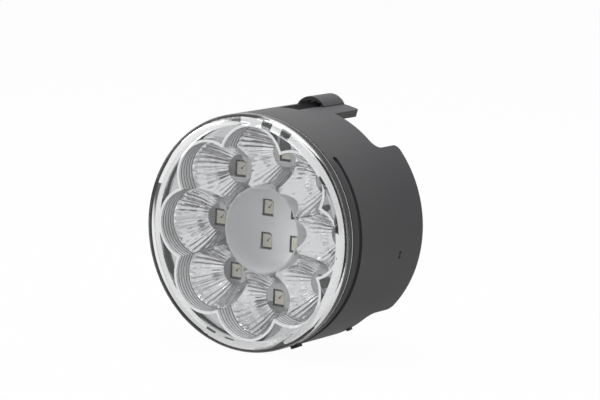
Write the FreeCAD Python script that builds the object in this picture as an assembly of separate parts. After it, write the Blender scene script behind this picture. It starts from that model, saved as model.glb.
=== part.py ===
import FreeCAD, Part
import math
import os

# Round vehicle indicator lamp, millimetres.
# The lamp axis is Y, the lens looks towards -Y, Z is up.
# Y is counted from the plane where the lens rim is widest.

# Outside
lens_r = 45.0
rim_inset = 3.0
face_r = lens_r - rim_inset
face_y = -3.75
lens_wall = 2.2
skirt_y = 3.0
joint_gap = 0.6
front_y = skirt_y + joint_gap
edge_y = 37.2
ear_y = 52.0
ear_half = 45.0
tab_y = 54.2
tab_half = 16.5
barrel_wall = 3.0
inner_r = lens_r - barrel_wall
seal_inset = 0.3
fit_gap = 0.3

# Groove behind the lens, stop lugs and nibs
groove_y = 8.0
groove_w = 2.7
groove_depth = 1.0
groove_top = 43.0
groove_low = -62.0
lug_angle = -66.0
lug_h = 1.0
lug_half = 1.8
nib_angle = -58.5
nib_h = 0.7
nib_l = 2.0
nib_half = 0.8
root = 1.0

# Hooded slot on top
slot_half = 4.6
slot_y = 25.0
hood_y = 40.0
hood_half = 6.0
hood_h = 3.2
hood_wall = 1.2
trough_wall = 1.5
trough_gap = 0.6

# Reflector
plate_y = 1.4
plate_t = 1.5
plate_r = lens_r - lens_wall - fit_gap
plate_rim = 2.8
lobe_r = 13.2
lobe_axis = plate_r - plate_rim - lobe_r
step_count = 5
step_r = 0.13
rim_y = 9.6
cup_count = 8
cup_shift = -0.6
cup_axis = lobe_axis + cup_shift
cup_floor_y = 21.1
cup_r = 5.1
flute_count = 32
shell_t = 1.5
centre_r = 15.9
centre_wall = 0.6
centre_round = 6.5
bowl_bands = 6
core_wall = 5.6
core_r = centre_r + core_wall
pocket_rim = 2.2
pocket_r = plate_r - pocket_rim
pocket_land = 1.0
pocket_depth = 3.0
drum_inset = 2.3
drum_r = plate_r - drum_inset
lip_gap = 0.6
lip_deep = 2.0
notch_angles = (9.4, 21.5)
notch_w = 4.2
notch_depth = 1.5
hook_gap = 0.2
hook_front = 0.4

# Board, light sources and drive parts
led_top_y = 21.6
led_h = 1.9
led_w = 3.6
led_l = 4.6
led_cut = 0.7
well_w = 2.6
well_l = 3.2
well_t = 0.2
window_w = 4.6
window_l = 6.1
window_cut = 1.0
pair_pitch = 11.9
board_y = led_top_y + led_h
board_t = 1.6
board_rim = 10.3
board_r = cup_axis + board_rim
wall_y = 31.5
wall_t = 2.2
screw_angles = (112.5, 247.5, 337.5)
screw_shift = 7.1
screw_axis = cup_axis + screw_shift
screw_r = 1.5
screw_head_r = 2.9
screw_head_h = 1.8
screw_len = 6.5
screw_gap = 0.2
cross_l = 3.2
cross_w = 0.8
cross_t = 1.0
boss_r = 3.6
coil_r = 4.2
coil_h = 4.0
coil_x = -14.0
coil_z = 4.0
chip_w = 5.0
chip_l = 6.0
chip_h = 1.6
chip_x = 8.5
chip_z = 5.0
diode_w = 4.4
diode_l = 2.8
diode_h = 2.2
diode_x = -1.8
diode_z = 9.4
capacitor_w = 3.2
capacitor_l = 2.5
capacitor_z = -6.75
capacitor_places = (-20.4, 17.6)

# Plug socket, contacts and breather on the rear wall
socket_z = -16.0
socket_w = 26.0
socket_h = 15.0
socket_wall = 1.6
socket_y = 48.5
socket_round = 2.5
socket_floor = 1.2
latch_w = 5.0
latch_h = 1.6
latch_l = 4.5
latch_back = 3.5
latch_nose = 0.5
contact_count = 4
contact_pitch = 5.0
contact_w = 1.5
contact_t = 0.8
contact_tip_y = 44.0
contact_head = 0.5
vent_z = 17.0
vent_hole_r = 2.5
vent_cap_r = 5.5
vent_cap_h = 3.0

AXIS = FreeCAD.Vector(0, 1, 0)
ORIGIN = FreeCAD.Vector(0, 0, 0)


def point(x, y, z):
    return FreeCAD.Vector(x, y, z)


def polar(radius, angle, y):
    # Angle is counted from +X towards +Z.
    turn = math.radians(angle)
    return point(radius * math.cos(turn), y, radius * math.sin(turn))


def turned(shape, angle):
    copy = shape.copy()
    copy.rotate(ORIGIN, AXIS, -angle)
    return copy


def disc(radius, y0, y1, x=0.0, z=0.0):
    return Part.makeCylinder(radius, y1 - y0, point(x, y0, z), AXIS)


def ring(outer, inner, y0, y1):
    return disc(outer, y0, y1).cut(disc(inner, y0, y1))


def block(x0, x1, y0, y1, z0, z1):
    return Part.makeBox(x1 - x0, y1 - y0, z1 - z0, point(x0, y0, z0))


def chip_block(x, z, width, length, y, height):
    return block(x - width / 2, x + width / 2, y, y + height, z - length / 2, z + length / 2)


def spun(edges, angle=360.0):
    face = Part.Face(Part.Wire(edges))
    return face.revolve(ORIGIN, AXIS, angle)


def line(a, b):
    return Part.makeLine(point(a[0], a[1], 0), point(b[0], b[1], 0))


def arc(a, middle, b):
    ends = [point(p[0], p[1], 0) for p in (a, middle, b)]
    return Part.Arc(*ends).toShape()


def sector(outer, inner, y0, y1, start, end):
    corners = [(inner, y0), (outer, y0), (outer, y1), (inner, y1)]
    edges = [line(corners[i], corners[(i + 1) % 4]) for i in range(4)]
    return turned(spun(edges, end - start), end)


def rim_arc(radius, corner_r, front):
    # Middle of the arc that leaves the flat face and runs into the skirt.
    rise = -front
    inset = radius - corner_r
    bend = (inset ** 2 + rise ** 2) / (2 * inset)
    reach = math.atan2(rise, corner_r - radius + bend) / 2
    return (radius - bend + bend * math.cos(reach), -bend * math.sin(reach))


def make_lens():
    skirt_in = lens_r - lens_wall
    back = face_y + lens_wall
    back_r = face_r - lens_wall / 2
    edges = [
        line((0, face_y), (face_r, face_y)),
        arc((face_r, face_y), rim_arc(lens_r, face_r, face_y), (lens_r, 0)),
        line((lens_r, 0), (lens_r, skirt_y)),
        line((lens_r, skirt_y), (skirt_in, skirt_y)),
        line((skirt_in, skirt_y), (skirt_in, 0)),
        line((skirt_in, 0), (back_r, back)),
        line((back_r, back), (0, back)),
        line((0, back), (0, face_y)),
    ]
    return spun(edges)


def make_seal():
    return ring(lens_r - seal_inset, lens_r - lens_wall, skirt_y, front_y)


def radial_edges(shape, y, angle):
    # Straight edges across the wall at one height and one angle.
    found = []
    aim = polar(1, angle, 0)
    for edge in shape.Edges:
        if len(edge.Vertexes) != 2:
            continue
        a, b = [v.Point for v in edge.Vertexes]
        if abs(a.y - y) > 0.01 or abs(b.y - y) > 0.01:
            continue
        along = (b - a).normalize()
        if abs(abs(along.dot(aim)) - 1) < 0.001 and (a + b).dot(aim) > 0:
            found.append(edge)
    return found


def make_shell():
    shell = ring(lens_r, inner_r, front_y, edge_y)
    for side in (0, 180):
        shell = shell.fuse(sector(lens_r, inner_r, edge_y, ear_y, side - ear_half, side + ear_half))
    shell = shell.fuse(sector(lens_r, inner_r, edge_y, tab_y, 90 - tab_half, 90 + tab_half)).removeSplitter()
    ear_sides = [side + sign * ear_half for side in (0, 180) for sign in (-1, 1)]
    tab_sides = [90 - tab_half, 90 + tab_half]
    for angles, y, radius in ((ear_sides, edge_y, 4.0), (ear_sides, ear_y, 2.5), (tab_sides, tab_y, 0.8)):
        for angle in angles:
            shell = shell.makeFillet(radius, radial_edges(shell, y, angle))
    return shell


def make_hood():
    bend = (hood_half ** 2 + hood_h ** 2) / (2 * hood_h)
    centre_z = lens_r + hood_h - bend
    arch = disc(bend, hood_y, tab_y, 0, centre_z)
    arch = arch.common(block(-hood_half, hood_half, hood_y, tab_y, inner_r, lens_r + hood_h))
    hollow = disc(bend - hood_wall, hood_y, tab_y - hood_wall, 0, centre_z)
    hollow = hollow.common(block(-slot_half, slot_half, hood_y, tab_y, 0, lens_r + hood_h))
    return arch, hollow


def make_groove(side):
    low = groove_low if side > 0 else 180 - groove_top
    top = groove_top if side > 0 else 180 - groove_low
    half = groove_w / 2
    floor_r = lens_r - groove_depth
    cut = sector(lens_r + 1, floor_r, groove_y - half, groove_y + half, low, top)
    for angle in (low, top):
        cap = Part.makeCylinder(half, groove_depth + 2, polar(floor_r, angle, groove_y), polar(1, angle, 0))
        cut = cut.fuse(cap)
    return cut


def rounded_box(width, height, y0, y1, z, radius):
    box = block(-width / 2, width / 2, y0, y1, z - height / 2, z + height / 2)
    long_edges = [e for e in box.Edges if abs(e.Vertexes[0].Y - e.Vertexes[1].Y) > 1]
    return box.makeFillet(radius, long_edges)


def make_socket():
    # Shroud with a floor that the contacts pass, and a ramp for the plug's latch.
    base = wall_y + wall_t
    inner_w = socket_w - 2 * socket_wall
    inner_h = socket_h - 2 * socket_wall
    shroud = rounded_box(socket_w, socket_h, base, socket_y, socket_z, socket_round)
    hollow = rounded_box(inner_w, inner_h, base + socket_floor, socket_y, socket_z, socket_round - socket_wall / 2)
    top = socket_z + socket_h / 2
    back = socket_y - latch_back
    side = [(back - latch_l, top), (back - latch_nose, top + latch_h), (back, top)]
    ramp = flat_face([point(-latch_w / 2, y, z) for y, z in side]).extrude(point(latch_w, 0, 0))
    slots = [contact_block(x, base, base + socket_floor) for x in contact_places()]
    return shroud.cut([hollow] + slots).fuse(ramp).removeSplitter()


def contact_places():
    first = -contact_pitch * (contact_count - 1) / 2
    return [first + contact_pitch * i for i in range(contact_count)]


def contact_block(x, y0, y1):
    return block(x - contact_w / 2, x + contact_w / 2, y0, y1,
                 socket_z - contact_t / 2, socket_z + contact_t / 2)


def hook_places():
    return [base + sign * angle for base in (90, 270) for angle in notch_angles for sign in (-1, 1)]


def notch(width, r0, r1, y0, y1):
    return block(r0, r1, y0, y1, -width / 2, width / 2)


def make_housing():
    body = make_shell()
    arch, hollow = make_hood()
    trough_z = board_r + trough_gap
    slot = block(-slot_half, slot_half, slot_y, hood_y + 6, trough_z + trough_wall, lens_r + 1)
    trough = block(-slot_half - trough_wall, slot_half + trough_wall, slot_y - trough_wall, wall_y + wall_t,
                   trough_z, lens_r).common(disc(lens_r - 1, 0, ear_y))
    lip_y = plate_y + plate_t
    lip = ring(plate_r, drum_r + lip_gap, lip_y, front_y + lip_deep)
    added = [arch, trough, lip, disc(inner_r, wall_y, wall_y + wall_t)]
    for angle in hook_places():
        added.append(turned(notch(notch_w - 2 * hook_gap, plate_r - notch_depth + hook_gap, plate_r,
                                  plate_y - hook_front, lip_y), angle))
    for angle in screw_angles:
        spot = polar(screw_axis, angle, 0)
        added.append(disc(boss_r, board_y + board_t, wall_y, spot.x, spot.z))
    half = groove_w / 2
    lug = block(lens_r - root, lens_r + lug_h, groove_y - half, groove_y + half, -lug_half, lug_half)
    nib = block(lens_r - root, lens_r + nib_h, edge_y - nib_l, edge_y, -nib_half, nib_half)
    for piece, angle in ((lug, lug_angle), (nib, nib_angle)):
        added.extend([turned(piece, angle), turned(piece, 180 - angle)])
    body = body.fuse(added)
    removed = [slot, hollow, make_groove(1), make_groove(-1)]
    removed.append(disc(vent_hole_r, wall_y, wall_y + wall_t, 0, vent_z))
    for x in contact_places():
        removed.append(contact_block(x, wall_y, wall_y + wall_t))
    for angle in screw_angles:
        spot = polar(screw_axis, angle, 0)
        removed.append(disc(screw_r, board_y + board_t, board_y + screw_len, spot.x, spot.z))
    return body.cut(removed).removeSplitter()


def flute_ring(axis_r, radius, y):
    # Flats stand symmetric to the lamp's own radius.
    step = 2 * math.pi / flute_count
    turns = [step * (i + 0.5) for i in range(flute_count)]
    return [point(axis_r + radius * math.cos(t), y, radius * math.sin(t)) for t in turns]


def flat_face(corners):
    return Part.Face(Part.makePolygon(corners + corners[:1]))


def faceted(rings):
    # Closed solid between stacked polygons that have their flats in line.
    faces = [flat_face(rings[0]), flat_face(rings[-1])]
    for lower, upper in zip(rings, rings[1:]):
        for i in range(flute_count):
            j = (i + 1) % flute_count
            faces.append(flat_face([lower[i], lower[j], upper[j], upper[i]]))
    solid = Part.makeSolid(Part.makeShell(faces))
    if solid.Volume < 0:
        solid.reverse()
    return solid


def make_cup():
    # Fluted bowl: flat strips between polygons that widen towards the lens.
    depth = cup_floor_y - rim_y
    rim_r = lobe_r - step_count * step_r
    rings = []
    for share in (0.0, 0.3, 0.64, 1.0):
        spread = math.sqrt(share * (rim_r ** 2 - cup_r ** 2) + cup_r ** 2)
        axis_r = cup_axis + (lobe_axis - cup_axis) * share
        rings.append(flute_ring(axis_r, spread, cup_floor_y - depth * share))
    # Terraced wall between the flutes and the front plate.
    rise = (rim_y - plate_y) / step_count
    for i in range(step_count):
        radius = rim_r + step_r * (i + 1)
        y1 = rim_y - rise * i
        rings.append(flute_ring(lobe_axis, radius, y1))
        rings.append(flute_ring(lobe_axis, radius, y1 - rise))
    cup = faceted(rings)
    half = math.radians(180 / cup_count)
    wide = 60.0
    wedge = flat_face([point(0, plate_y, 0), point(wide, plate_y, -wide * math.tan(half)),
                       point(wide, plate_y, wide * math.tan(half))])
    wedge = wedge.extrude(point(0, cup_floor_y - plate_y, 0))
    return cup.common(wedge).cut(disc(centre_r, rim_y, cup_floor_y))


def make_centre_bowl():
    wall_r = centre_r - centre_wall
    flat_r = wall_r - centre_round
    bend_y = cup_floor_y - centre_round
    corners = [(flat_r, cup_floor_y)]
    for i in range(1, bowl_bands + 1):
        turn = math.pi / 2 * i / bowl_bands
        corners.append((flat_r + centre_round * math.sin(turn), bend_y + centre_round * math.cos(turn)))
    edges = [line((0, cup_floor_y), corners[0])]
    edges += [line(a, b) for a, b in zip(corners, corners[1:])]
    edges += [
        line((wall_r, bend_y), (wall_r, rim_y)),
        line((wall_r, rim_y), (centre_r, rim_y)),
        line((centre_r, rim_y), (centre_r, plate_y)),
        line((centre_r, plate_y), (0, plate_y)),
        line((0, plate_y), (0, cup_floor_y)),
    ]
    return spun(edges)


def led_places():
    outer = [polar(cup_axis, 360 / cup_count * i, 0) for i in range(cup_count)]
    half = pair_pitch / 2
    inner = [point(sx * half, 0, sz * half) for sz in (1, -1) for sx in (-1, 1)]
    return outer, inner


def make_window(spot):
    # Upright opening with its upper right corner cut off.
    half_w = window_w / 2
    half_l = window_l / 2
    y0 = cup_floor_y - window_l
    corners = [(-half_w, -half_l), (half_w, -half_l), (half_w, half_l - window_cut),
               (half_w - window_cut, half_l), (-half_w, half_l)]
    face = flat_face([point(spot.x + x, y0, spot.z + z) for x, z in corners])
    return face.extrude(point(0, window_l + shell_t, 0))


def make_reflector():
    back_y = cup_floor_y + shell_t
    floor_y = plate_y + pocket_depth
    drum_y = rim_y + shell_t
    body = disc(plate_r, plate_y, plate_y + plate_t).fuse(disc(drum_r, plate_y, drum_y))
    back = faceted([flute_ring(cup_axis, cup_r + shell_t, back_y), flute_ring(lobe_axis, lobe_r, drum_y)])
    backs = [turned(back, 360 / cup_count * i) for i in range(cup_count)]
    body = body.fuse(backs + [disc(core_r, drum_y, back_y)])
    land = disc(lobe_r + pocket_land, plate_y, floor_y, lobe_axis)
    lobes = [turned(land, 360 / cup_count * i) for i in range(cup_count)]
    pockets = disc(pocket_r, plate_y, floor_y).cut(lobes + [disc(lobe_axis, plate_y, floor_y)])
    cup = make_cup()
    cuts = [turned(cup, 360 / cup_count * i) for i in range(cup_count)]
    cuts.append(make_centre_bowl())
    cuts.extend(pockets.Solids)
    outer, inner = led_places()
    cuts.extend(make_window(spot) for spot in outer + inner)
    for angle in hook_places():
        cuts.append(turned(notch(notch_w, plate_r - notch_depth, plate_r + 1, plate_y, plate_y + plate_t), angle))
    return body.cut(cuts).removeSplitter()


def make_board():
    board = disc(board_r, board_y, board_y + board_t)
    cuts = [contact_block(x, board_y, board_y + board_t) for x in contact_places()]
    for angle in screw_angles:
        spot = polar(screw_axis, angle, 0)
        cuts.append(disc(screw_r + screw_gap, board_y, board_y + board_t, spot.x, spot.z))
    return board.cut(cuts)


def make_led(spot):
    # Body with one cut corner and a shallow window over the chip.
    half_w = led_w / 2
    half_l = led_l / 2
    corners = [(-half_w, -half_l), (half_w, -half_l), (half_w, half_l - led_cut),
               (half_w - led_cut, half_l), (-half_w, half_l)]
    body = flat_face([point(spot.x + x, led_top_y, spot.z + z) for x, z in corners])
    body = body.extrude(point(0, led_h, 0))
    well = chip_block(spot.x, spot.z, well_w, well_l, led_top_y, well_t)
    return body.cut(well)


def make_screw(angle):
    spot = polar(screw_axis, angle, 0)
    head = disc(screw_head_r, board_y - screw_head_h, board_y, spot.x, spot.z)
    shank = disc(screw_r, board_y, board_y + screw_len, spot.x, spot.z)
    top = board_y - screw_head_h
    cross = [chip_block(spot.x, spot.z, w, l, top, cross_t) for w, l in ((cross_l, cross_w), (cross_w, cross_l))]
    return head.fuse(shank).cut(cross)


def make_contact(x):
    return contact_block(x, board_y - contact_head, contact_tip_y)


def make_vent():
    base = wall_y + wall_t
    stem = disc(vent_hole_r, wall_y, base, 0, vent_z)
    return stem.fuse(disc(vent_cap_r, base, base + vent_cap_h, 0, vent_z))


def make_drive_parts():
    # Parts soldered to the back of the board.
    back = board_y + board_t
    parts = {
        "drive_coil": disc(coil_r, back, back + coil_h, coil_x, coil_z),
        "drive_chip": chip_block(chip_x, chip_z, chip_w, chip_l, back, chip_h),
        "input_diode": chip_block(diode_x, diode_z, diode_w, diode_l, back, diode_h),
    }
    for i, x in enumerate(capacitor_places):
        name = "capacitor_%d" % (i + 1)
        parts[name] = chip_block(x, capacitor_z, capacitor_w, capacitor_l, back, capacitor_l)
    return parts


def make_all():
    nodes = {
        "lens": make_lens(),
        "lens_seal": make_seal(),
        "housing": make_housing(),
        "reflector": make_reflector(),
        "led_board": make_board(),
        "board_screws": Part.makeCompound([make_screw(angle) for angle in screw_angles]),
        "plug_socket": make_socket(),
        "breather_vent": make_vent(),
    }
    outer, inner = led_places()
    for i, spot in enumerate(outer):
        nodes["indicator_led_%d" % (i + 1)] = make_led(spot)
    for i, spot in enumerate(inner):
        nodes["position_led_%d" % (i + 1)] = make_led(spot)
    for i, x in enumerate(contact_places()):
        nodes["contact_%d" % (i + 1)] = make_contact(x)
    nodes.update(make_drive_parts())
    return nodes


os.makedirs("parts", exist_ok=True)
for name, shape in make_all().items():
    shape.exportStep("parts/%s.step" % name)
    print(name, shape.ShapeType, len(shape.Solids), shape.isValid(), round(shape.Volume, 1))
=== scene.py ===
# %% [markdown]
# # A round indicator lamp, dressed for its portrait
# The solid parts of the lamp come from a CAD model: lens, housing, reflector, board and light
# packages. This lesson gives each of them its finish, adds the few details that are too small for
# the solids, and then sets up a floor, soft light and a camera. Everything is in metres. The lamp's
# axis is Y, the lens looks towards -Y and Z is up.

# %% Open the frame
import math

import bmesh
import bpy
from mathutils import Matrix, Vector


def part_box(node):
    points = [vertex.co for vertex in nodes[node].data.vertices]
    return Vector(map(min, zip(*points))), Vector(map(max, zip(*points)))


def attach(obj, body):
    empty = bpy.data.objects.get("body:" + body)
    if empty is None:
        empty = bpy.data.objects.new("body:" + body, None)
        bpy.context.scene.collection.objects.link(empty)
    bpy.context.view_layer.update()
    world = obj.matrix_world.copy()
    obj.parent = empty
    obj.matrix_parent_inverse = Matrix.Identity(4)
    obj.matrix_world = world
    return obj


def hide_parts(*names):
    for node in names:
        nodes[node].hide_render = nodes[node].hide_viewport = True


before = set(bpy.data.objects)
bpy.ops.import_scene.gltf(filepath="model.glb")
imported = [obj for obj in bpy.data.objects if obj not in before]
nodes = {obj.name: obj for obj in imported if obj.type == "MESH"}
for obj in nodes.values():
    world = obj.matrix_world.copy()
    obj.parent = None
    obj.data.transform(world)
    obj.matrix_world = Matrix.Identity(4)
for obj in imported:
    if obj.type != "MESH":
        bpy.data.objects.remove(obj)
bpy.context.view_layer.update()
MM = 0.001

# %% [markdown]
# ## A small language for finishes
# Shader nodes are easier to read as sums than as boxes and wires. `Value` holds one output socket,
# and its operators add Math nodes, so that `1 - mask` works. `Finish` holds one node tree, with one
# method that adds any node: its type, its settings, and the values or links of its inputs.

# %% Value and Finish
class Value:
    def __init__(self, finish, socket):
        self.finish = finish
        self.socket = socket

    def math(self, operation, first, second=0.0):
        return self.finish.node("ShaderNodeMath", {"operation": operation}, {0: first, 1: second})

    def __add__(self, other):
        return self.math("ADD", self, other)

    def __radd__(self, other):
        return self.math("ADD", other, self)

    def __sub__(self, other):
        return self.math("SUBTRACT", self, other)

    def __rsub__(self, other):
        return self.math("SUBTRACT", other, self)

    def __mul__(self, other):
        return self.math("MULTIPLY", self, other)

    def __rmul__(self, other):
        return self.math("MULTIPLY", other, self)

    def __truediv__(self, other):
        return self.math("DIVIDE", self, other)

    def __pow__(self, other):
        return self.math("POWER", self, other)

    def size(self):
        return self.math("ABSOLUTE", self)

    def below(self, limit):
        return self.math("LESS_THAN", self, limit)

    def above(self, limit):
        return self.math("GREATER_THAN", self, limit)


class Finish:
    def __init__(self, tree):
        self.tree = tree

    def node(self, kind, settings=None, sockets=None, out=0):
        made = self.tree.nodes.new(kind)
        for name, value in (settings or {}).items():
            setattr(made, name, value)
        for name, value in (sockets or {}).items():
            self.feed(made.inputs[name], value)
        return Value(self, made.outputs[out])

    def feed(self, socket, value):
        if isinstance(value, Value):
            self.tree.links.new(value.socket, socket)
        else:
            socket.default_value = value

    def place(self):
        spot = self.node("ShaderNodeTexCoord", out=3)
        parts = self.node("ShaderNodeSeparateXYZ", sockets={0: spot})
        return spot, [Value(self, out) for out in parts.socket.node.outputs]

    def band(self, value, low, high):
        return self.node("ShaderNodeMapRange", {"interpolation_type": "SMOOTHSTEP"},
                         {0: value, 1: low, 2: high, 3: 0.0, 4: 1.0})

    def mix(self, share, first, second):
        return self.node("ShaderNodeMix", {"data_type": "RGBA"}, {0: share, 6: first, 7: second}, out=2)


def new_finish(name, colour, roughness, **sockets):
    material = bpy.data.materials.new(name)
    material.use_nodes = True
    finish = Finish(material.node_tree)
    finish.material = material
    finish.surface = material.node_tree.nodes["Principled BSDF"]
    finish.output = material.node_tree.nodes["Material Output"]
    finish.surface.inputs["Base Color"].default_value = (*colour, 1.0)
    finish.surface.inputs["Roughness"].default_value = roughness
    for socket, value in sockets.items():
        finish.surface.inputs[socket.replace("_", " ")].default_value = value
    print("finish:", name)
    return finish


def wear(finish, *names):
    for name in names:
        data = nodes[name].data
        data.materials.clear()
        data.materials.append(finish.material)


# %% [markdown]
# ## Round faces that look round
# The solids arrive as loose triangles. A Weld modifier joins their edges, smooth faces blend the
# light across them, and an Edge Split modifier keeps real corners sharp. The mesh itself is not
# touched. A test can pick the faces that are smoothed, which the reflector needs further down.

# %% Smooth the round solids
corner_angle = math.radians(28)
same_point = 0.001 * MM


def corners(piece, test=None):
    for face in piece.data.polygons:
        face.use_smooth = test is None or test(face.center)
    piece.modifiers.new("corners", "EDGE_SPLIT").split_angle = corner_angle


for name in nodes:
    nodes[name].modifiers.new("weld", "WELD").merge_threshold = same_point
    corners(nodes[name])
print("smoothed", len(nodes), "parts")

# %% [markdown]
# ## Reflector with a clean centre rim
# In the solid, thin slivers are left standing on the rim of the centre bowl, between each two cups.
# The shown reflector is a copy with its edges joined, and those slivers are laid flat on the rim.

# %% Reflector copy
def new_piece(name, shape):
    data = bpy.data.meshes.new(name)
    shape.to_mesh(data)
    shape.free()
    piece = bpy.data.objects.new(name, data)
    bpy.context.scene.collection.objects.link(piece)
    return piece


def axis_distance(spot):
    return math.hypot(spot.x, spot.z)


rim_y, plate_y, floor_y = 9.6 * MM, 1.4 * MM, 21.1 * MM
centre_r = 15.9 * MM
sliver_r = centre_r + 1.6 * MM
sliver_y = rim_y - 0.01 * MM
shape = bmesh.new()
shape.from_mesh(nodes["reflector"].data)
bmesh.ops.remove_doubles(shape, verts=shape.verts, dist=same_point)
slivers = [v for v in shape.verts if axis_distance(v.co) < sliver_r and v.co.y < sliver_y]
for vert in slivers:
    vert.co.y = rim_y
bmesh.ops.dissolve_degenerate(shape, edges=shape.edges, dist=same_point)
print("slivers laid flat:", len(slivers), "points")

# %% [markdown]
# ## Scallops in the cups
# The solid's cups have flat strips. On the real part each strip is hollowed like a scallop, with a
# ridge between two of them. The strips are cut into four along each edge, and every point is then
# moved towards its cup's axis: most on a ridge, not at all in the middle of a strip. The move fades
# out where two cups meet, at the centre and at the terraces. Faces that have shrunk to a line are
# dissolved. The centre and the cups are smoothed, and the terraces stay flat.

# %% Scallops
cup_count, flute_count, cuts_per_edge = 8, 32, 3
rim_axis, floor_axis, cup_rim = 26.5 * MM, 25.9 * MM, 12.5 * MM
ridge = 0.33 * MM
eighth = 2 * math.pi / cup_count
fade_y = (rim_y, rim_y + 0.8 * MM)
fade_r = (16.2 * MM, 17.4 * MM)
meeting, fade_turn = math.radians(22.4), math.radians(2.4)
thin_face = 0.005 * MM
level_face = 0.95


def ease(value, low, high):
    share = min(max((value - low) / (high - low), 0.0), 1.0)
    return share * share * (3 - 2 * share)


def from_cup(spot):
    middle = round(math.atan2(spot.z, spot.x) / eighth) * eighth
    out = Vector((math.cos(middle), 0, math.sin(middle)))
    axis = rim_axis + (floor_axis - rim_axis) * (spot.y - rim_y) / (floor_y - rim_y)
    away = Vector((spot.x, 0, spot.z)) - out * axis
    return out, away


def in_flutes(face):
    spot = face.calc_center_median()
    away = from_cup(spot)[1]
    steep = face.normal.dot(away) < 0 and abs(face.normal.y) < level_face
    inside = axis_distance(spot) > centre_r and away.length < cup_rim
    return steep and inside and rim_y < spot.y < floor_y


def smoothed(spot):
    return axis_distance(spot) < centre_r or rim_y < spot.y < floor_y - 0.05 * MM


shape.normal_update()
strips = [face for face in shape.faces if in_flutes(face)]
edges = list({edge for face in strips for edge in face.edges})
bmesh.ops.subdivide_edges(shape, edges=edges, cuts=cuts_per_edge, use_grid_fill=True)
moved = {vert for face in shape.faces if in_flutes(face) for vert in face.verts}
for vert in moved:
    out, away = from_cup(vert.co)
    side = out.cross(Vector((0, 1, 0)))
    wave = abs(math.cos(math.atan2(away.dot(side), away.dot(out)) * flute_count / 2))
    radius = axis_distance(vert.co)
    fold = math.acos(min(vert.co.dot(out) / radius, 1.0))
    fade = ease(vert.co.y, *fade_y) * ease(radius, *fade_r) * ease(meeting - fold, 0.0, fade_turn)
    vert.co -= away * (ridge * (1 - wave) * fade / cup_rim)
bmesh.ops.dissolve_degenerate(shape, edges=shape.edges, dist=thin_face)
bmesh.ops.triangulate(shape, faces=shape.faces)
reflector = new_piece("bright_reflector", shape)
corners(reflector, smoothed)
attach(reflector, "root")
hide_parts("reflector")
print("strips hollowed:", len(strips), "faces now:", len(reflector.data.polygons))

# %% [markdown]
# ## Housing plastic
# The barrel is a dark grey moulding with a satin surface. A fine noise gives the grain that
# keeps its highlight soft. On its right side the two halves of the mould leave a faint line, and
# two core pins leave small holes, painted black as painted shade: all three are drawn by their place on
# the barrel. The barrel has painted shade that makes it a little darker to the rear. The neck between
# the lens and the ring groove has painted shade, darker still, and the groove itself has painted light
# that makes it lighter, because its own depth already keeps light out.

# %% Housing
housing_grey = (0.033, 0.033, 0.0355)
rear_shade_grey = (0.024, 0.0235, 0.0275, 1)
neck_shade_grey = (0.009, 0.009, 0.0105, 1)
groove_painted_light = (0.08, 0.08, 0.085, 1)
hole_shade_black = (0.005, 0.005, 0.005, 1)
barrel_r = 45.0 * MM
line_z, line_start = 2.3 * MM, 18 * MM
neck_shade_end, neck_shade_top, rear_shade_fade = (9.6 * MM, 9.2 * MM), (33 * MM, 28 * MM), (12 * MM, 46 * MM)
pin_y, pin_r, pin_turns = 37 * MM, 0.75 * MM, (-8.2, -10.3)
plastic = new_finish("satin_housing", housing_grey, 0.5)
spot, (x, y, z) = plastic.place()
grain = plastic.node("ShaderNodeTexNoise", sockets={"Vector": spot, "Scale": 2200.0, "Detail": 2.0})
line = plastic.band((z - line_z).size(), 0.25 * MM, 0.1 * MM) * x.above(20 * MM) * y.above(line_start)
bump = plastic.node("ShaderNodeBump",
                    sockets={"Strength": 0.1, "Distance": 0.1 * MM, "Height": grain - line * 3})
plastic.feed(plastic.surface.inputs["Normal"], bump)
# painted shade: two black discs stand in for the dark inside the core pin holes
pin_hole_shade = 0.0
for pin_turn in pin_turns:
    pin_z = barrel_r * math.sin(math.radians(pin_turn))
    off = ((y - pin_y) ** 2 + (z - pin_z) ** 2) ** 0.5
    pin_hole_shade = pin_hole_shade + off.below(pin_r) * x.above(0.0)
# painted shade on the neck between the lens and the groove
neck_shade = plastic.band(y, *neck_shade_end) * plastic.band(z, *neck_shade_top)
# painted light: the groove walls are lighter to offset the shade of their own depth
groove_painted_light_mask = ((x * x + z * z) ** 0.5).below(barrel_r - 0.2 * MM) * y.above(6 * MM)
# painted shade: the barrel's colour darkens towards the rear
grey = plastic.mix(plastic.band(y, *rear_shade_fade), (*housing_grey, 1), rear_shade_grey)
grey = plastic.mix(neck_shade, grey, neck_shade_grey)
grey = plastic.mix(neck_shade * groove_painted_light_mask, grey, groove_painted_light)
plastic.feed(plastic.surface.inputs["Base Color"], plastic.mix(pin_hole_shade, grey, hole_shade_black))
plastic.feed(plastic.surface.inputs["Metallic"], pin_hole_shade)
wear(plastic, "housing")

black = new_finish("black_plastic", (0.02, 0.02, 0.021), 0.45)
wear(black, "plug_socket", "breather_vent", "drive_chip", "input_diode")
joint = new_finish("joint_black", (0.008, 0.008, 0.008), 0.6)
wear(joint, "lens_seal")

# %% [markdown]
# ## Metallised reflector
# The reflector is plastic with a thin bright metal film. The cups are mirror bright and the terraces
# duller. The round centre is finely textured, so it scatters light and reads as plain silver grey.
# One mask on the distance from the lamp's axis parts it from the rest. The eight cups are alike, so
# the angle about the lamp's axis is folded into one eighth, which gives the distance from a cup's
# own axis.

# %% Reflector
cup_axis = (rim_axis + floor_axis) / 2
satin_r, satin_y = 16.0 * MM, 9.0 * MM
metal = new_finish("metallised", (0.9, 0.9, 0.91), 0.06, Metallic=1.0)
x, y, z = metal.place()[1]
radius = (x * x + z * z) ** 0.5
share = x.math("ARCTAN2", z, x) / eighth
fold = (share - share.math("ROUND", share)) * eighth
along = radius * fold.math("COSINE", fold) - cup_axis
across = radius * fold.math("SINE", fold)
reach = (along * along + across * across) ** 0.5
satin = radius.below(satin_r) * y.above(satin_y)
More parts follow.
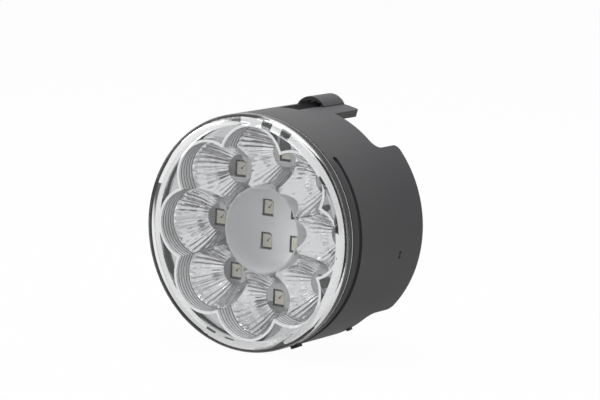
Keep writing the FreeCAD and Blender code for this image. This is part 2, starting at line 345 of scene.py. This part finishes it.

# %% [markdown]
# Darker marks belong to the mirror parts. Each terrace ends in a small painted shadow line, drawn at
# every step of its height. The flat floor round each light package and the pockets between the cups are
# duller than the flutes, and so is the narrow land on the rim of the centre. The edges of the
# windows for the packages lie behind the floor and are painted black as painted shade.

# %% Painted terrace shadow lines and cup floors
step_count = 5
lobe_edge = 13.75 * MM
pocket_end = 4.5 * MM
land_r = 15.2 * MM
shadow_line_grey = (0.12, 0.12, 0.125, 1)
floor_grey = (0.36, 0.36, 0.365, 1)
pocket_grey = (0.6, 0.6, 0.61, 1)
satin_grey = (0.73, 0.735, 0.745, 1)
land_grey = (0.42, 0.42, 0.43, 1)
window_shade_black = (0.03, 0.03, 0.03, 1)
near = 0.1 * MM
steps = (rim_y - y) / ((rim_y - plate_y) / step_count)
nearness = (steps - steps.math("ROUND", steps)).size()
terraced = y.above(plate_y + 0.2 * MM) * y.below(rim_y + 0.15 * MM)
wall = terraced * reach.below(lobe_edge) * (1 - satin)
rim_land = y.above(rim_y - near) * y.below(rim_y + near) * radius.above(land_r) * satin
pockets = y.above(plate_y + near) * y.below(pocket_end) * reach.above(lobe_edge)
# painted shadow line at the foot of each terrace step
painted_shadow_lines = metal.band(nearness, 0.12, 0.05) * wall
floors = y.above(floor_y - near) * (1 - satin) * y.below(floor_y + near)
film = metal.mix(painted_shadow_lines, (0.88, 0.88, 0.89, 1), shadow_line_grey)
film = metal.mix(floors, film, floor_grey)
film = metal.mix(pockets, film, pocket_grey)
film = metal.mix(satin, film, satin_grey)
film = metal.mix(rim_land, film, land_grey)
# painted shade: the window walls behind the floor are black
film = metal.mix(y.above(floor_y + 0.05 * MM), film, window_shade_black)
metal.feed(metal.surface.inputs["Base Color"], film)
metal.feed(metal.surface.inputs["Roughness"], satin * 0.4 + wall * 0.25 + 0.05)
metal.feed(metal.surface.inputs["Metallic"], 1 - satin * 0.88 - wall * 0.8)
reflector.data.materials.clear()
reflector.data.materials.append(metal.material)
print("reflector terraces:", step_count)

# %% [markdown]
# ## Board and light packages
# Around each package a dark board shows through the reflector's window. The packages are pale
# moulded bodies with a small dark chip under clear fill.

# %% Board, packages and small parts
board = new_finish("solder_mask", (0.03, 0.03, 0.032), 0.5)
wear(board, "led_board")
pale = new_finish("pale_package", (0.7, 0.68, 0.58), 0.4)
lights = sorted(n for n in nodes if "_led_" in n)
wear(pale, *lights)
chip = new_finish("chip_mark", (0.12, 0.1, 0.08), 0.3)
chip_depth, chip_height = 0.16 * MM, 0.08 * MM
chip_marks = ((0.7, 0.7, 0.0, 0), (0.25, 1.5, 0.55, 45))
shape = bmesh.new()
for name in lights:
    low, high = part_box(name)
    middle = (low + high) / 2
    for wide, tall, shift, angle in chip_marks:
        offset = shift * MM
        place = Matrix.Translation((middle.x + offset, low.y + chip_depth, middle.z + offset))
        twist = Matrix.Rotation(math.radians(angle), 4, "Y")
        size = Matrix.Diagonal((wide * MM, chip_height, tall * MM, 1))
        bmesh.ops.create_cube(shape, size=1.0, matrix=place @ twist @ size)
chips = new_piece("led_chips", shape)
chips.data.materials.append(chip.material)
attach(chips, "root")
print("chips:", len(lights))
steel = new_finish("plated_steel", (0.6, 0.6, 0.62), 0.3, Metallic=1.0)
wear(steel, "board_screws")
tin = new_finish("tinned_contact", (0.72, 0.7, 0.64), 0.3, Metallic=1.0)
wear(tin, *[n for n in nodes if n.startswith("contact_")])
ferrite = new_finish("ferrite", (0.05, 0.05, 0.05), 0.6)
wear(ferrite, "drive_coil")
ceramic = new_finish("tan_ceramic", (0.35, 0.27, 0.18), 0.5)
wear(ceramic, "capacitor_1", "capacitor_2")

# %% [markdown]
# ## Clear lens
# The lens is clear polycarbonate, so it bends light a little more than window glass does. Shadow
# rays pass it freely, as real light does, and the reflector behind it stays lit.

# %% Lens
clear = new_finish("clear_lens", (0.985, 0.99, 0.99), 0.0, IOR=1.55, Transmission_Weight=1.0)
ray = clear.node("ShaderNodeLightPath", out=1)
through = clear.node("ShaderNodeBsdfTransparent")
glassy = Value(clear, clear.surface.outputs[0])
both = clear.node("ShaderNodeMixShader", sockets={0: ray, 1: glassy, 2: through})
clear.feed(clear.output.inputs["Surface"], both)
wear(clear, "lens")

# %% [markdown]
# ## Floor, light and camera
# The lamp lies on a white table. The floor is seen as white by camera, mirror and glass rays, but
# part of its own shading stays so that the lamp's shadow shows. Under the lamp, mirror and glass rays
# find a painted shadow on it, and behind it dark, which draws the black line along the clear rim.

# %% Floor
mirror_level = 0.86
lamp_middle_y = 25 * MM
under_shadow_reach, under_shadow_dim = (110 * MM, 50 * MM), 0.28
behind_reach, behind_dim = (50 * MM, 150 * MM), 0.92
white_share = 0.97


def seen_rays(finish):
    outs = finish.node("ShaderNodeLightPath").socket.node.outputs
    kinds = ("Is Camera Ray", "Is Glossy Ray", "Is Transmission Ray")
    straight, mirrored, bent = (Value(finish, outs[kind]) for kind in kinds)
    return straight, finish.node("ShaderNodeClamp", sockets={0: straight + mirrored + bent})


def seen_as_white(finish, shaded, share):
    straight, seen = seen_rays(finish)
    part = seen * share
    x, y = finish.place()[1][:2]
    # painted shadow under the lamp, seen only by mirror and glass rays
    under_shadow = finish.band((x * x + (y - lamp_middle_y) ** 2) ** 0.5, *under_shadow_reach) * under_shadow_dim
    behind = finish.band(y, *behind_reach) * x.below(0.0) * behind_dim
    dim = under_shadow.math("MAXIMUM", under_shadow, behind)
    level = straight + (1 - straight) * (1 - dim) * mirror_level
    white = finish.node("ShaderNodeEmission", sockets={"Color": (1, 1, 1, 1), "Strength": level})
    return finish.node("ShaderNodeMixShader", sockets={0: part, 1: shaded, 2: white})


table_z = -45.0 * MM
shape = bmesh.new()
bmesh.ops.create_grid(shape, x_segments=1, y_segments=1, size=20.0,
                      matrix=Matrix.Translation((0, 0, table_z)))
table = new_piece("table", shape)
paper = new_finish("white_table", (0.5, 0.5, 0.5), 0.9)
lit = Value(paper, paper.surface.outputs[0])
paper.feed(paper.output.inputs["Surface"], seen_as_white(paper, lit, white_share))
table.data.materials.append(paper.material)
print("table at", table_z)

# %% [markdown]
# The studio is white all round, with the dark of the room behind the camera and two smaller dark
# patches. Mirrors need them: in an all-white room chrome looks like white paint. Light for matt
# surfaces is even. The left softbox is hidden from mirror rays, so that its square outline isn't
# seen in the lens.

# %% Light
def studio_world():
    world = bpy.data.worlds.new("studio")
    bpy.context.scene.world = world
    world.use_nodes = True
    studio = Finish(world.node_tree)
    even = world.node_tree.nodes["Background"]
    even.inputs["Color"].default_value = (0.75, 0.75, 0.76, 1)
    even.inputs["Strength"].default_value = 0.62
    straight, seen = seen_rays(studio)
    way = studio.node("ShaderNodeTexCoord")

    def patch(towards, inner, outer):
        facing = studio.node("ShaderNodeVectorMath", {"operation": "DOT_PRODUCT"},
                             {0: way, 1: Vector(towards).normalized()}, out=1)
        return studio.band(facing, math.cos(math.radians(outer)), math.cos(math.radians(inner)))

    behind_camera = patch((0.56, -0.81, 0.17), 22, 40) * 0.95
    front_left = patch((-0.75, -0.6, 0.3), 8, 16) * 0.8
    high_front = patch((-0.2, -0.5, 0.8), 14, 22) * 0.6
    dark = studio.node("ShaderNodeClamp", sockets={0: behind_camera + front_left + high_front})
    tone = studio.mix(dark, (1, 1, 1, 1), (0.03, 0.03, 0.035, 1))
    level = straight * (1 - mirror_level) + mirror_level
    room = studio.node("ShaderNodeBackground", sockets={"Color": tone, "Strength": level})
    plain = Value(studio, even.outputs[0])
    both = studio.node("ShaderNodeMixShader", sockets={0: seen, 1: plain, 2: room})
    studio.feed(world.node_tree.nodes["World Output"].inputs["Surface"], both)


studio_world()


def softbox(name, spot, aim, wide, high, power):
    lamp = bpy.data.lights.new(name, "AREA")
    lamp.shape = "RECTANGLE"
    lamp.size = wide
    lamp.size_y = high
    lamp.energy = power
    piece = bpy.data.objects.new(name, lamp)
    piece.location = spot
    piece.rotation_euler = (Vector(aim) - Vector(spot)).to_track_quat("-Z", "Y").to_euler()
    bpy.context.scene.collection.objects.link(piece)
    print("softbox:", name)
    return piece


softbox("overhead", (0.0, 0.1, 0.9), (0, 0.02, 0), 0.9, 0.9, 11.0)
left = softbox("left", (-0.9, -0.5, 0.35), (0, 0, 0), 0.6, 0.8, 6.2)
left.visible_glossy = False

# %% [markdown]
# The camera stands to the right of the lamp and a little above it, a good metre away with a long
# lens. It is turned by under two degrees about its own axis, as the portrait's horizon is. The focal
# length is given in pixels of a picture 600 wide, and so is the aim, which lies to the right of the
# lamp's origin and above it.

# %% Camera
turn, rise, roll = (math.radians(a) for a in (34.56, 9.88, 1.84))
distance = 1.1
pixels, picture_width, sensor_width = 2947.0, 600.0, 36.0
aside, above = 52.8, 33.5
back = Vector((math.sin(turn) * math.cos(rise), -math.cos(turn) * math.cos(rise), math.sin(rise)))
right = Vector((math.cos(turn), math.sin(turn), 0))
up = back.cross(right)
right, up = (math.cos(roll) * right + math.sin(roll) * up,
             math.cos(roll) * up - math.sin(roll) * right)
stand = back * distance
aim = (right * aside + up * above) * (distance / pixels)
back = (stand - aim).normalized()
right = (right - right.dot(back) * back).normalized()
up = back.cross(right)
data = bpy.data.cameras.new("portrait")
data.lens = pixels * sensor_width / picture_width
data.sensor_width = sensor_width
camera = bpy.data.objects.new("portrait", data)
turned = Matrix((right, up, back)).transposed().to_4x4()
camera.matrix_world = Matrix.Translation(stand) @ turned
bpy.context.scene.collection.objects.link(camera)
bpy.context.scene.camera = camera
bpy.context.scene.view_settings.view_transform = "Standard"
print("camera lens", round(data.lens, 1))
